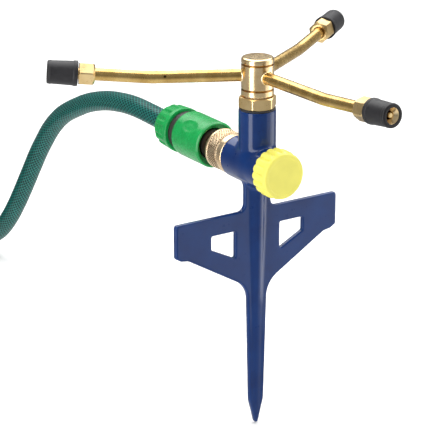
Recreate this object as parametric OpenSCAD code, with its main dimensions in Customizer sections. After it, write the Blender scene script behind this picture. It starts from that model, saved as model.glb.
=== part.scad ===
// Three-arm rotating lawn sprinkler on a ground spike, with a snap hose
// connector, its supply hose and an end cap on the flow-through outlet.
// Millimetres, +Z up. The origin is the tip of the spike, on the rotor's axis.
// The inlet points along +Y, the capped outlet along -Y, the wings along X.

/* [Spike and tee] */
// Height of the cross tube's axis above the spike tip
tee_z = 216; // [208:1:224]
// Height of the top face of the vertical tube
top_z = 260.2; // [258:0.1:264]
// Outside radius of the vertical tube
tube_r = 14.4; // [13.8:0.1:15]
// Outside radius of the cross tube
cross_r = 16.8; // [16.2:0.1:17.4]
// Reach of the cross tube behind the rotor's axis
cross_back = 25.9; // [25:0.1:27]
// Reach of the cross tube in front of the rotor's axis
cross_front = 19.8; // [19:0.1:21]
// Half-width of the flat neck under the tee
neck_w = 12; // [11.4:0.1:12.6]
// Width across both wings
wing_w = 149; // [140:1:158]
// Height of the wings' top edge
wing_z = 180.6; // [178:0.1:183]
// Thickness of the wings and of the spike's blade
plate_t = 4.2; // [3.6:0.1:5]
// Radius of the spike's round middle rib at its top end
rib_r = 5.4; // [5:0.1:5.8]

/* [Rotor] */
// Radius of the hub
hub_r = 12.5; // [12:0.1:13]
// Height of the hub
hub_h = 29.3; // [28:0.1:31]
// Height of the arms' axis at the hub
arm_z = 286.7; // [285:0.1:288]
// Direction of the first arm at rest, degrees from +X
arm_turn = -87.8; // [-120:0.1:0]
// Outside radius of an arm tube
arm_r = 4.7; // [4.5:0.1:4.9]
// Bore radius of an arm tube
arm_bore = 3.7; // [3.3:0.1:3.9]
// Distance from the axis at which an arm starts to bend up
bend_at = 76; // [72:1:80]
// Upward bend of an arm, degrees
bend_deg = 4.8; // [3:0.1:8]
// Radius of the bend
bend_r = 110; // [60:5:150]
// Straight length of an arm past its bend
arm_out = 37; // [30:1:45]
// Radius of the small jet drilled in the side of an arm
jet_r = 0.8; // [0.6:0.1:1]

/* [Nozzle] */
// Hexagon across flats
hex_af = 16; // [15:0.5:17]
// Length of the hexagon
hex_l = 11.9; // [11.5:0.1:12.1]
// Radius of the nozzle's hole
orifice_r = 2.9; // [2.6:0.1:3.2]
// Radius of the pin in the middle of the hole
pin_r = 1.9; // [1.6:0.1:2.1]
// Pitch of the nozzle's adjusting thread
nozzle_pitch = 1; // [0.8:0.1:1.2]

/* [Snap connector] */
// Distance from the rotor's axis to the connector's front edge
conn_y = 56.7; // [56:0.1:58]
// Outside radius of the sliding collar
collar_r = 18.6; // [18.2:0.1:19.2]
// Length of the sliding collar
collar_l = 37.5; // [36:0.1:38.2]
// Outside radius of the hose nut
nut_r = 18.5; // [18:0.1:19]
// Number of flutes round the hose nut
nut_flutes = 16; // [12:1:20]

/* [End cap] */
// Outside radius of the cap over its lobes
cap_r = 18.9; // [18.4:0.1:19.4]
// Depth of the cap
cap_l = 15.8; // [15.6:0.1:16.6]
// Number of lobes round the cap
cap_lobes = 18; // [14:1:22]

/* [Hose] */
// Outside radius of the hose
hose_r = 8.5; // [8.2:0.1:8.5]
// Radius of the coil at the middle of its turns
coil_r = 105; // [100:1:110]
// Distance between neighbouring turns
coil_step = 17.2; // [17:0.1:17.5]

/* [Hidden] */
$fn = 64;

blue = [0.06, 0.17, 0.42];
brass = [0.80, 0.65, 0.38];
green = [0.0, 0.60, 0.30];
dark = [0.10, 0.09, 0.09];
rubber = [0.13, 0.13, 0.14];
lemon = [0.92, 0.90, 0.50];
teal = [0.0, 0.36, 0.34];
steel = [0.72, 0.73, 0.75];
white = [0.90, 0.90, 0.88];

// points on an arc in the plane
function arc(c, r, a0, a1, n) = [for (i = [0:n]) let (a = a0 + (a1 - a0) * i / n) [c[0] + r * cos(a), c[1] + r * sin(a)]];
// a corner b between a and c, rounded to radius r
function unit(v) = v / norm(v);
function corner(a, b, c, r) =
  let (u = unit(a - b), v = unit(c - b), half = acos(max(-1, min(1, u * v))) / 2,
       t = r / tan(half), m = b + unit(u + v) * r / sin(half), p = b + u * t, q = b + v * t,
       a0 = atan2(p[1] - m[1], p[0] - m[0]), a1 = atan2(q[1] - m[1], q[0] - m[0]),
       d = a1 - a0, dd = d > 180 ? d - 360 : (d < -180 ? d + 360 : d), n = max(2, ceil(abs(dd) / 12)))
  [for (i = [0:n]) let (w = a0 + dd * i / n) m + r * [cos(w), sin(w)]];
// a closed outline of [x, y, radius] corners, rounded
function outline(p) = [for (i = [0:len(p) - 1]) let (a = p[(i + len(p) - 1) % len(p)], b = p[i], c = p[(i + 1) % len(p)])
  each (b[2] > 0 ? corner([a[0], a[1]], [b[0], b[1]], [c[0], c[1]], b[2]) : [[b[0], b[1]]])];

// a turned solid from [radius, height] points
module turned(p) { rotate_extrude() polygon(p); }
module ring(ro, ri, z0, z1) { turned([[ri, z0], [ro, z0], [ro, z1], [ri, z1]]); }
module oring(rc, rw, z) { translate([0, 0, z]) rotate_extrude() translate([rc, 0]) circle(r = rw, $fn = 24); }

// the inlet's frame: local Z runs along +Y from the rotor's axis
module at_inlet() { translate([0, 0, tee_z]) rotate([-90, 0, 0]) children(); }
// the outlet's frame: local Z runs along -Y, from the cap's open edge
cap_gap = 1;
module at_outlet() { translate([0, -cross_front - cap_gap, tee_z]) rotate([90, 0, 0]) children(); }
module at_conn() { at_inlet() translate([0, 0, conn_y]) children(); }

// ---- spike, wings and tee: one casting ----
half_w = wing_w / 2;
blade = [[1, 0, 0.6], [6.5, 20, 18], [9.1, 118, 20], [63, 150, 8], [69.5, 151, 3], [half_w, 154, 1.5],
  [half_w, wing_z, 2.5], [neck_w, wing_z, 5.5], [neck_w, 206, 0],
  [-neck_w, 206, 0], [-neck_w, wing_z, 5.5], [-half_w, wing_z, 2.5],
  [-half_w, 154, 1.5], [-69.5, 151, 3], [-63, 150, 8], [-9.1, 118, 20], [-6.5, 20, 18], [-1, 0, 0.6]];
window_in = 20.7;
window_out = 42.3;
window_top = 165.9;
module window(s) {
  polygon(outline(s > 0
    ? [[window_in, 143.8, 1], [window_out, 154.7, 1], [window_out, window_top, 1], [window_in, window_top, 1]]
    : [[-window_in, window_top, 1], [-window_out, window_top, 1], [-window_out, 154.7, 1], [-window_in, 143.8, 1]]));
}
outlet_l = 12.6;
module spike_body() {
  color(blue) difference() {
    union() {
      at_inlet() turned([[0, -cross_front], [cross_r - 0.8, -cross_front], [cross_r, -cross_front + 0.8],
        [cross_r, cross_back - 0.6], [cross_r - 0.6, cross_back], [0, cross_back]]);
      at_inlet() turned([[0, -cross_front - outlet_l], [12.4, -cross_front - outlet_l], [13.2, -cross_front - outlet_l + 1],
        [13.2, -cross_front + 0.5], [0, -cross_front + 0.5]]);
      turned([[0, tee_z], [tube_r, tee_z], [tube_r, top_z - 0.6], [tube_r - 0.6, top_z], [0, top_z]]);
      turned([[0, 2.5], [1.2, 2.5], [1.6, 6], [2.3, 15], [2.7, 50], [3.2, 97], [rib_r - 1.5, 130], [rib_r - 0.5, 169],
        [rib_r, tee_z], [0, tee_z]]);
      translate([0, plate_t / 2, 0]) rotate([90, 0, 0]) linear_extrude(plate_t) difference() {
        polygon(outline(blade));
        window(1);
        window(-1);
      }
    }
    at_inlet() translate([0, 0, -cross_front - outlet_l - 1]) cylinder(r = 9, h = cross_front + outlet_l + 10);
    at_inlet() translate([0, 0, 8]) cylinder(r = 13.22, h = cross_back);
    translate([0, 0, tee_z]) cylinder(r = 9.2, h = 28);
    translate([0, 0, 243.8]) cylinder(r = 10.45, h = 30);
  }
}

// ---- bearing ----
bush_z = top_z + 1.6;
hex_h = 8.8;
module bush_gasket() { color(rubber) ring(14.1, 10.6, top_z, bush_z); }
module bearing_bush() {
  color(brass) difference() {
    union() {
      intersection() {
        translate([0, 0, bush_z]) rotate([0, 0, 42]) cylinder(r = 13 / cos(30), h = hex_h, $fn = 6);
        turned([[0, bush_z], [13.3, bush_z], [15.2, bush_z + 1.2], [15.2, bush_z + hex_h - 1.2], [13.3, bush_z + hex_h], [0, bush_z + hex_h]]);
      }
      translate([0, 0, 244.5]) cylinder(r = 10.4, h = bush_z - 244.5 + 1);
    }
    translate([0, 0, 240]) cylinder(r = 6.05, h = 40);
  }
}
module lower_washer() { color(white) ring(8.8, 6.2, 243.06, 244.44); }
hub_z = bush_z + hex_h + 1;
module upper_washer() { color(white) ring(9.8, 6.2, bush_z + hex_h + 0.05, hub_z - 0.08); }
module rotor_shaft() {
  color(brass) turned([[4, 240.2], [8.2, 240.2], [8.6, 240.6], [8.6, 243], [6, 243], [6, 281.4], [5.4, 282], [4, 282]]);
}

// ---- rotor ----
hub_top = hub_z + hub_h;
module rotor_hub() {
  color(brass) difference() {
    turned(concat([[0, hub_z], [hub_r - 0.6, hub_z], [hub_r, hub_z + 0.6],
      [hub_r, hub_z + 4.3], [hub_r - 0.55, hub_z + 4.6], [hub_r - 0.55, hub_z + 5.1], [hub_r, hub_z + 5.4],
      [hub_r, hub_top - 5.5], [hub_r - 0.55, hub_top - 5.2], [hub_r - 0.55, hub_top - 4.7], [hub_r, hub_top - 4.4]],
      arc([hub_r - 1.6, hub_top - 1.6], 1.6, 0, 90, 5), [[0, hub_top]]));
    translate([0, 0, hub_z - 1]) cylinder(r = 6.03, h = 282.05 - hub_z + 1);
    translate([0, 0, 282]) cylinder(r = 7.5, h = 11);
    for (i = [0:2]) rotate([0, 0, arm_turn + 120 * i]) translate([6, 0, arm_z]) rotate([0, 90, 0]) cylinder(r = arm_r + 0.03, h = 10);
  }
}
// the bent run of an arm, of radius r, starting at x0 and ending s past the straight
module arm_run(r, x0, s) {
  translate([x0, 0, 0]) rotate([0, 90, 0]) cylinder(r = r, h = bend_at - x0 + 0.05);
  translate([bend_at, 0, bend_r]) rotate([90, 0, 0]) rotate([0, 0, -90]) rotate_extrude(angle = bend_deg) translate([bend_r, 0]) circle(r = r, $fn = 48);
  translate([bend_at + bend_r * sin(bend_deg), 0, bend_r * (1 - cos(bend_deg))]) rotate([0, -bend_deg, 0]) translate([-0.05, 0, 0]) rotate([0, 90, 0]) cylinder(r = r, h = arm_out + s + 0.05);
}
module arm(i) {
  color(brass) rotate([0, 0, arm_turn + 120 * i]) translate([0, 0, arm_z]) difference() {
    arm_run(arm_r, 8, 6);
    arm_run(arm_bore, 7, 7);
    translate([70, 0, 0]) rotate([-70, 0, 0]) cylinder(r = jet_r, h = 8);
  }
}
module arm_tube_1() { arm(0); }
module arm_tube_2() { arm(1); }
module arm_tube_3() { arm(2); }

// ---- nozzles: local Z runs outward along the arm from the hexagon's inner face ----
module at_nozzle(i) {
  rotate([0, 0, arm_turn + 120 * i]) translate([bend_at + bend_r * sin(bend_deg), 0, arm_z + bend_r * (1 - cos(bend_deg))])
    rotate([0, -bend_deg, 0]) translate([arm_out, 0, 0]) rotate([0, 90, 0]) children();
}
module holder() {
  color(brass) difference() {
    union() {
      intersection() {
        rotate([0, 0, 16]) cylinder(r = hex_af / 2 / cos(30), h = hex_l, $fn = 6);
        turned([[0, 0], [7.1, 0], [9.3, 2.2], [9.3, hex_l], [0, hex_l]]);
      }
      turned([[0, hex_l - 1], [4.4, hex_l - 1], [4.4, 17], [4.9, 17.4], [4.9, 22], [4, 22.4], [4, 24.5],
        [pin_r, 27], [pin_r, 32.8], [pin_r - 0.4, 33.2], [0, 33.2]]);
    }
    translate([0, 0, -1]) cylinder(r = arm_r + 0.03, h = 7);
    translate([0, 0, 5]) cylinder(r = 2.6, h = 18.6);
    for (a = [0, 90]) rotate([0, 0, a]) translate([-6, 0, 23.2]) rotate([0, 90, 0]) cylinder(r = 0.9, h = 12);
  }
}
module seal() { color(rubber) oring(5.36, 0.9, 14.3); }
module cup() {
  color(brass) turned([[5, 12.6], [7.6, 12.6], [7.6, 34.9], [5.8, 34.9], [orifice_r, 31.5], [orifice_r, 29.5],
    [4.95, 27.5], [4.95, 15.3], [6.28, 15.3], [6.28, 13.3], [5, 13.3]]);
}
module grip() {
  color(rubber) turned(concat([[7.6, 12.7], [9.2, 12.7], [9.65, 13.2], [9.65, 15]],
    [[8.75, 34.3]], arc([7.75, 34.6], 1, 10, 80, 4), [[7.4, 35.7], [6.2, 35.7], [5.9, 35.4], [5.9, 34.9], [7.6, 34.9]]));
}
module nozzle_holder_1() { at_nozzle(0) holder(); }
module nozzle_holder_2() { at_nozzle(1) holder(); }
module nozzle_holder_3() { at_nozzle(2) holder(); }
module nozzle_seal_1() { at_nozzle(0) seal(); }
module nozzle_seal_2() { at_nozzle(1) seal(); }
module nozzle_seal_3() { at_nozzle(2) seal(); }
module nozzle_cup_1() { at_nozzle(0) cup(); }
module nozzle_cup_2() { at_nozzle(1) cup(); }
module nozzle_cup_3() { at_nozzle(2) cup(); }
module nozzle_grip_1() { at_nozzle(0) grip(); }
module nozzle_grip_2() { at_nozzle(1) grip(); }
module nozzle_grip_3() { at_nozzle(2) grip(); }

// ---- plug spigot that a snap connector grips; heights from the connector's front edge ----
spigot = [[8, -5.2], [8, 5.3], [7, 5.7], [7, 10.3], [8, 10.7], [8, 14.2], [6.25, 14.2], [6.25, 17], [8, 17], [8, 20.3], [6.7, 22.3], [5.2, 22.3]];
function raised(p, z) = [for (q = p) [q[0], q[1] + z]];
module inlet_nipple() {
  f = cross_back + 0.9;
  e = conn_y - 7.5;
  color(brass) at_inlet() turned(concat([[5.2, 8.6], [12.6, 8.6], [13.17, 9.2], [13.17, f], [15.7, f], [16.2, f + 0.5],
    [16.2, f + 5.8], [15.3, f + 6.4], [15.3, f + 7.2], [16.2, f + 7.8]],
    arc([14.4, e - 1.8], 1.8, 0, 90, 5), [[9.2, e], [9.2, e + 1.6]], raised(spigot, conn_y)));
}
module inlet_gasket() { color(rubber) at_inlet() ring(16, 13.3, cross_back, cross_back + 0.88); }
module nipple_seal() { color(rubber) at_conn() oring(7.13, 0.87, 15.6); }

// ---- snap connector; local Z runs from its front edge towards the hose ----
module snap_body() {
  color(dark) difference() {
    turned([[8.35, 2.8], [11.6, 2.8], [12.4, 3.6], [12.4, 31.3], [15.6, 31.3], [16, 31.7], [16, 46.8], [14.8, 46.8], [14.8, 59.5],
      [12.7, 59.5], [12.7, 48.5], [6.3, 48.5], [6.3, 52], [6.7, 52], [6.3, 55], [6.7, 55], [6.3, 58], [6.7, 58], [5.9, 64], [5, 64],
      [5, 23.2], [8.06, 23.2], [8.06, 10.4], [8.35, 10.4]]);
    for (a = [0, 120, 240]) rotate([0, 0, a - 30]) rotate_extrude(angle = 60) polygon([[7.5, 5.7], [13.5, 5.7], [13.5, 10], [7.5, 10]]);
  }
}
module snap_claws() {
  color(white) for (a = [0, 120, 240]) rotate([0, 0, a - 27]) rotate_extrude(angle = 54)
    polygon([[7.35, 6.3], [7.9, 5.85], [12.2, 5.85], [12.6, 6.3], [12.6, 9.4], [12.2, 9.85], [7.35, 9.85]]);
}
// helical wire: rings of points joined into one closed tube
spring_turns = 7;
spring_n = 14;
module snap_spring() {
  z0 = 11.35;
  z1 = 30.55;
  rc = 13.75;
  rw = 0.65;
  m = spring_turns * spring_n;
  k = 6;
  pts = [for (i = [0:m]) let (a = 360 * i / spring_n, c = rc * [cos(a), sin(a)], z = z0 + (z1 - z0) * i / m)
    for (j = [0:k - 1]) let (b = 360 * j / k) [(rc + rw * cos(b)) * cos(a), (rc + rw * cos(b)) * sin(a), z + rw * sin(b)]];
  side = [for (i = [0:m - 1]) for (j = [0:k - 1]) [i * k + j, i * k + (j + 1) % k, (i + 1) * k + (j + 1) % k, (i + 1) * k + j]];
  color(steel) polyhedron(points = pts, faces = concat([[for (j = [k - 1:-1:0]) j]], side, [[for (j = [0:k - 1]) m * k + j]]), convexity = 10);
}
// shallow oval thumb rest, a spindle 19 long and 10 wide where it meets the skin
module thumb_rest() {
  n = 10;
  rs = 66;
  translate([collar_r + 18.3, 0, collar_l / 2]) rotate_extrude() polygon(concat([[0, -11.5]],
    [for (i = [-n:n]) let (z = 11.5 * i / n) [sqrt(rs * rs - z * z) - rs + 19, z]], [[0, 11.5]]));
}
module snap_collar() {
  color(green) difference() {
    turned(concat([[16.6, 0], [17.5, 0], [18.2, 0.4], [collar_r, 1.4]],
      arc([collar_r - 1.6, collar_l - 1.6], 1.6, 0, 80, 5), [[16.35, collar_l], [16.35, 24.5], [15.3, 24.5],
      [15.3, 10.6], [12.95, 10.6], [12.95, 4.4], [16.6, 4.4]]));
    for (s = [45, 225]) rotate([0, 0, s]) thumb_rest();
  }
}
module snap_collet() {
  color(white) difference() {
    turned([[8.6, 50.5], [12.4, 50.5], [12.4, 59.8], [9.7, 64.3], [8.6, 64.3]]);
    for (a = [0:45:135]) rotate([0, 0, a]) translate([-14, -0.6, 54]) cube([28, 1.2, 12]);
  }
}
module snap_nut() {
  color(green) difference() {
    turned([[14.85, 46.8], [17.9, 46.8], [nut_r, 47.4], [nut_r, 50.5], [17.6, 64], [15.9, 66.9], [14.6, 67.7], [8.75, 67.7], [8.75, 65.6], [14.85, 60.2]]);
    for (i = [0:nut_flutes - 1]) rotate([0, 0, (i + 0.5) * 360 / nut_flutes])
      translate([nut_r + 1.5, 0, 51.5]) rotate([0, -4.5, 0]) cylinder(r = 2.4, h = 20);
  }
}
module connector_body() { at_conn() snap_body(); }
module latch_claws() { at_conn() snap_claws(); }
module collar_spring() { at_conn() snap_spring(); }
module connector_collar() { at_conn() snap_collar(); }
module hose_collet() { at_conn() snap_collet(); }
module hose_nut() { at_conn() snap_nut(); }

// ---- end cap on the outlet ----
module end_cap() {
  color(lemon) at_outlet() difference() {
    union() {
      turned(concat([[0, 0], [17.7, 0], [18.1, 0.4], [18.1, cap_l - 3]], arc([15.6, cap_l - 2.5], 2.5, 0, 90, 5), [[0, cap_l]]));
      for (i = [0:cap_lobes - 1]) rotate([0, 0, i * 360 / cap_lobes]) translate([cap_r - 3.2, 0, 0.4]) cylinder(r = 3.2, h = cap_l - 4.6, $fn = 32);
    }
    translate([0, 0, -1]) cylinder(r = 13.25, h = 14.7);
  }
}
module cap_washer() { color(rubber) at_outlet() ring(13.1, 7.6, 11.66, 13.62); }

// ---- hose ----
// route of the hanging stretch in the plane x = 0: [y, z]
drop = [[105.7, 216], [124, 216], [150, 216.8], [180, 217], [205, 214.6], [230, 209.8], [257, 201.5], [278, 192.5],
  [300, 181.5], [316, 170.8], [331, 157.5], [343, 144], [355, 129.5], [370, 109], [386, 87], [402, 66], [420, 45.5],
  [440, 28], [464, 15.5], [495, 9.6], [530, 8.5], [565, 8.5], [600, 8.5]];
// one closed tube of radius r round a route of 3-D points
function along(p, i) = unit(i == 0 ? p[1] - p[0] : (i == len(p) - 1 ? p[i] - p[i - 1] : p[i + 1] - p[i - 1]));
module swept(p, r, k) {
  n = len(p);
  pts = [for (i = [0:n - 1]) let (t = along(p, i), s = unit(cross(t, [0, 0, 1])), u = cross(s, t))
    for (j = [0:k - 1]) let (a = 360 * (j + 0.5) / k) p[i] + r * (cos(a) * s + sin(a) * u)];
  side = [for (i = [0:n - 2]) for (j = [0:k - 1]) [i * k + j, i * k + (j + 1) % k, (i + 1) * k + (j + 1) % k, (i + 1) * k + j]];
  polyhedron(points = pts, faces = concat([[for (j = [k - 1:-1:0]) j]], side, [[for (j = [0:k - 1]) (n - 1) * k + j]]), convexity = 6);
}
module supply_hose() { color(teal) swept([for (q = drop) [0, q[0], q[1]]], hose_r, 12); }
// coil: three turns on three, one on top; centre and slots
coil_out = coil_r + coil_step;
coil_c = [-coil_out, 600];
layer = coil_step;
top_from = 250;
tail_from = 450;
module hose_coil() {
  color(teal) translate([coil_c[0], coil_c[1], 0]) union() {
    ring(coil_out + hose_r, coil_r - coil_step - hose_r, 0, layer + 2 * hose_r);
    rotate([0, 0, top_from]) rotate_extrude(angle = tail_from - top_from) polygon([[coil_r - hose_r, layer], [coil_r + hose_r, layer],
      [coil_r + hose_r, 2 * layer + 2 * hose_r], [coil_r - hose_r, 2 * layer + 2 * hose_r]]);
  }
}
// tail of the hose on top of the coil: it draws in to a smaller radius, then runs straight into the far connector
top_z7 = 2 * layer + hose_r;
tail_in = 74;
tail_deg = 60;
lift_z = layer + 2 * hose_r + collar_r + 0.2;
function ease(t) = (1 - cos(180 * t)) / 2;
function tail_at(t) = let (a = tail_from + tail_deg * t, r = coil_r + (tail_in - coil_r) * ease(t))
  [coil_c[0] + r * cos(a), coil_c[1] + r * sin(a), top_z7 + (lift_z - top_z7) * ease(t)];
tail_end = tail_at(1);
tail_dir = [-sin(tail_from + tail_deg), cos(tail_from + tail_deg), 0];
module hose_tail() {
  color(teal) swept(concat([for (i = [0:8]) tail_at(i / 8)], [for (s = [10, 20, 30]) tail_end + s * tail_dir]), hose_r, 12);
}
// far connector's frame: local Z runs back along the tail
tail_stop = tail_end + 30 * tail_dir;
module at_far() {
  translate(tail_stop + 49.2 * tail_dir) rotate([0, 0, tail_from + tail_deg]) rotate([90, 0, 0]) children();
}
module coil_ties() {
  color(rubber) for (a = [300, 395]) translate([coil_c[0], coil_c[1], 0]) rotate([0, 0, a]) rotate([90, 0, 0]) translate([0, 0, -6]) linear_extrude(12) difference() {
    polygon([[77.6, 0], [coil_out + 10, 0], [coil_out + 10, 30], [coil_r + 8.6, 53], [coil_r - 8.6, 53], [77.6, 30]]);
    polygon([[79, 1.2], [coil_out + 8.7, 1.2], [coil_out + 8.7, 29.4], [coil_r + 7.9, 51.7], [coil_r - 7.9, 51.7], [79, 29.4]]);
  }
}

// ---- far end: the same connector on a tap adaptor ----
module tap_connector_body() { at_far() snap_body(); }
module tap_latch_claws() { at_far() snap_claws(); }
module tap_collar_spring() { at_far() snap_spring(); }
module tap_connector_collar() { at_far() snap_collar(); }
module tap_hose_collet() { at_far() snap_collet(); }
module tap_hose_nut() { at_far() snap_nut(); }
module tap_adaptor() {
  color(dark) at_far() difference() {
    turned(concat([[5.2, -12.5], [12.3, -12.5], [12.3, -14.5], [12.06, -14.5], [12.06, -25], [15.4, -25], [16.2, -24.2], [16.2, -8.3], [15.4, -7.5], [9.2, -7.5], [9.2, -5.9]], spigot));
    for (i = [0:11]) rotate([0, 0, i * 30]) translate([17.8, 0, -22.5]) cylinder(r = 2.2, h = 12, $fn = 24);
  }
}
module adaptor_washer() { color(rubber) at_far() ring(11.9, 7.6, -14.5, -12.52); }
module adaptor_seal() { color(rubber) at_far() oring(7.13, 0.87, 15.6); }

spike_body();
bush_gasket();
bearing_bush();
lower_washer();
upper_washer();
rotor_shaft();
rotor_hub();
arm_tube_1();
arm_tube_2();
arm_tube_3();
nozzle_holder_1();
nozzle_holder_2();
nozzle_holder_3();
nozzle_seal_1();
nozzle_seal_2();
nozzle_seal_3();
nozzle_cup_1();
nozzle_cup_2();
nozzle_cup_3();
nozzle_grip_1();
nozzle_grip_2();
nozzle_grip_3();
inlet_nipple();
inlet_gasket();
nipple_seal();
connector_body();
latch_claws();
collar_spring();
connector_collar();
hose_collet();
hose_nut();
end_cap();
cap_washer();
supply_hose();
hose_coil();
hose_tail();
coil_ties();
tap_connector_body();
tap_latch_claws();
tap_collar_spring();
tap_connector_collar();
tap_hose_collet();
tap_hose_nut();
tap_adaptor();
adaptor_washer();
adaptor_seal();
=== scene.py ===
import math

import bmesh
import bpy
import numpy as np
from mathutils import Matrix, Vector


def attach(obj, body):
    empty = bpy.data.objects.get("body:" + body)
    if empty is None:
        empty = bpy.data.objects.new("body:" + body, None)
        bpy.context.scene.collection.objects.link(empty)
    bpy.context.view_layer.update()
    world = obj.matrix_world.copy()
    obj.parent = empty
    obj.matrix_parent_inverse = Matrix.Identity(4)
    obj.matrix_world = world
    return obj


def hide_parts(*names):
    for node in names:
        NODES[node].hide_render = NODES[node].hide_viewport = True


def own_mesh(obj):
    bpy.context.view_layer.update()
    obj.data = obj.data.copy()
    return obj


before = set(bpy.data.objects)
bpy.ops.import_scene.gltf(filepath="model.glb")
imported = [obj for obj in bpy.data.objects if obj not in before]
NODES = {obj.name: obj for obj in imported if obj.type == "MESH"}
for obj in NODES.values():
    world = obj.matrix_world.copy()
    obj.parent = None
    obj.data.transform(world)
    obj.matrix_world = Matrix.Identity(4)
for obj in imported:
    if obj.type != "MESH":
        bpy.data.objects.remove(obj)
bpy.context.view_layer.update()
MM = 0.001
scene = bpy.context.scene
PI = math.pi


def rad(d):
    return math.radians(d)


# ---------------------------------------------------------------- camera
AZ, EL, DIST, TX, TZ = -33.14, 19.68, 1562.8, -30.1, 172.8
_a, _e = rad(AZ), rad(EL)
c_right = Vector((math.cos(_a), math.sin(_a), 0))
c_back = Vector((math.sin(_a) * math.cos(_e), -math.cos(_a) * math.cos(_e), math.sin(_e)))
c_up = c_back.cross(c_right)
c_at = c_right * TX + Vector((0, 0, TZ)) + c_back * DIST
cam_data = bpy.data.cameras.new("camera")
cam_data.sensor_width = 36.0
cam_data.sensor_fit = "HORIZONTAL"
cam_data.lens = 2029.7 / 435 * 36.0
cam_data.clip_start, cam_data.clip_end = 0.05, 50
cam = bpy.data.objects.new("camera", cam_data)
cam.matrix_world = Matrix(
    (
        (c_right.x, c_up.x, c_back.x, c_at.x * MM),
        (c_right.y, c_up.y, c_back.y, c_at.y * MM),
        (c_right.z, c_up.z, c_back.z, c_at.z * MM),
        (0, 0, 0, 1),
    )
)
scene.collection.objects.link(cam)
scene.camera = cam


# ---------------------------------------------------------------- mesh helpers
def new_obj(name, verts, faces, uvs=None, mat=None):
    """verts in mm, in the row frame. uvs: one per loop, in face order."""
    me = bpy.data.meshes.new(name)
    me.from_pydata([tuple(float(c) * MM for c in v) for v in verts], [], faces)
    if uvs is not None:
        layer = me.uv_layers.new(name="UVMap")
        layer.data.foreach_set("uv", np.asarray(uvs, np.float32).ravel())
    me.validate()
    me.update()
    o = bpy.data.objects.new(name, me)
    scene.collection.objects.link(o)
    if mat is not None:
        me.materials.append(mat)
    return o


def shade(o, angle=32, weighted=True):
    me = o.data
    me.polygons.foreach_set("use_smooth", [True] * len(me.polygons))
    me.set_sharp_from_angle(angle=rad(angle))
    if weighted:
        m = o.modifiers.new("normals", "WEIGHTED_NORMAL")
        m.keep_sharp = True
        m.weight = 60
    return o


def fix_normals(o):
    bm = bmesh.new()
    bm.from_mesh(o.data)
    bmesh.ops.recalc_face_normals(bm, faces=bm.faces)
    bm.to_mesh(o.data)
    bm.free()
    return o


def put(o, m):
    """m: placement in mm."""
    mm = m.copy()
    mm.translation = mm.translation * MM
    o.data.transform(mm)
    if m.determinant() < 0:
        o.data.flip_normals()
    o.data.update()
    return o


def rounded(points, seg=4, closed=False):
    """(r, z) or (r, z, radius) corners to a line with rounded corners."""
    out = []
    n = len(points)
    for i, p in enumerate(points):
        b = Vector((p[0], p[1]))
        rr = p[2] if len(p) > 2 else 0
        if rr <= 0 or (not closed and i in (0, n - 1)):
            out.append((b.x, b.y))
            continue
        a = Vector(points[i - 1][:2])
        c = Vector(points[(i + 1) % n][:2])
        u, v = (a - b).normalized(), (c - b).normalized()
        ang = u.angle(v)
        if abs(ang - PI) < 1e-3:
            out.append((b.x, b.y))
            continue
        t = min(rr / math.tan(ang / 2), 0.499 * (a - b).length, 0.499 * (c - b).length)
        rr = t * math.tan(ang / 2)
        m = b + (u + v).normalized() * (rr / math.sin(ang / 2))
        p0, p1 = b + u * t, b + v * t
        a0 = math.atan2(p0.y - m.y, p0.x - m.x)
        a1 = math.atan2(p1.y - m.y, p1.x - m.x)
        d = (a1 - a0 + PI) % (2 * PI) - PI
        for k in range(seg + 1):
            w = a0 + d * k / seg
            out.append((m.x + rr * math.cos(w), m.y + rr * math.sin(w)))
    return out


def lathe(name, pts, mat, n=96, closed=False, m=None, angle=32, radius=None, weighted=True):
    """A turned piece from (r, z) points; radius(theta, r, z) may change a ring's radius."""
    verts, faces, uvs, rings = [], [], [], []
    length = 0.0
    vv = []
    for i, (r, z) in enumerate(pts):
        if i:
            length += math.hypot(r - pts[i - 1][0], z - pts[i - 1][1])
        vv.append(length)
        if r < 1e-6:
            rings.append([len(verts)])
            verts.append((0, 0, z))
            continue
        ring = []
        for j in range(n):
            th = 2 * PI * j / n
            q = radius(th, r, z) if radius else r
            if isinstance(q, tuple):
                q, zz = q
            else:
                zz = z
            ring.append(len(verts))
            verts.append((q * math.cos(th), q * math.sin(th), zz))
        rings.append(ring)
    pairs = [(i, i + 1) for i in range(len(pts) - 1)]
    if closed:
        pairs.append((len(pts) - 1, 0))
        vv.append(length + math.hypot(pts[0][0] - pts[-1][0], pts[0][1] - pts[-1][1]))
    for i, k in pairs:
        A, B = rings[i], rings[k]
        v0, v1 = vv[i] * MM, vv[i + 1] * MM
        if len(A) == 1 and len(B) == 1:
            continue
        for j in range(n):
            j2 = (j + 1) % n
            u0, u1 = j / n, (j + 1) / n
            if len(A) == 1:
                faces.append((A[0], B[j2], B[j]))
                uvs += [(u0, v0), (u1, v1), (u0, v1)]
            elif len(B) == 1:
                faces.append((A[j], A[j2], B[0]))
                uvs += [(u0, v0), (u1, v0), (u0, v1)]
            else:
                faces.append((A[j], A[j2], B[j2], B[j]))
                uvs += [(u0, v0), (u1, v0), (u1, v1), (u0, v1)]
    o = new_obj(name, verts, faces, uvs, mat)
    fix_normals(o)
    if m is not None:
        put(o, m)
    return shade(o, angle, weighted)


def join(objs):
    bpy.ops.object.select_all(action="DESELECT")
    for o in objs:
        o.select_set(True)
    bpy.context.view_layer.objects.active = objs[0]
    bpy.ops.object.join()
    return objs[0]


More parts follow.
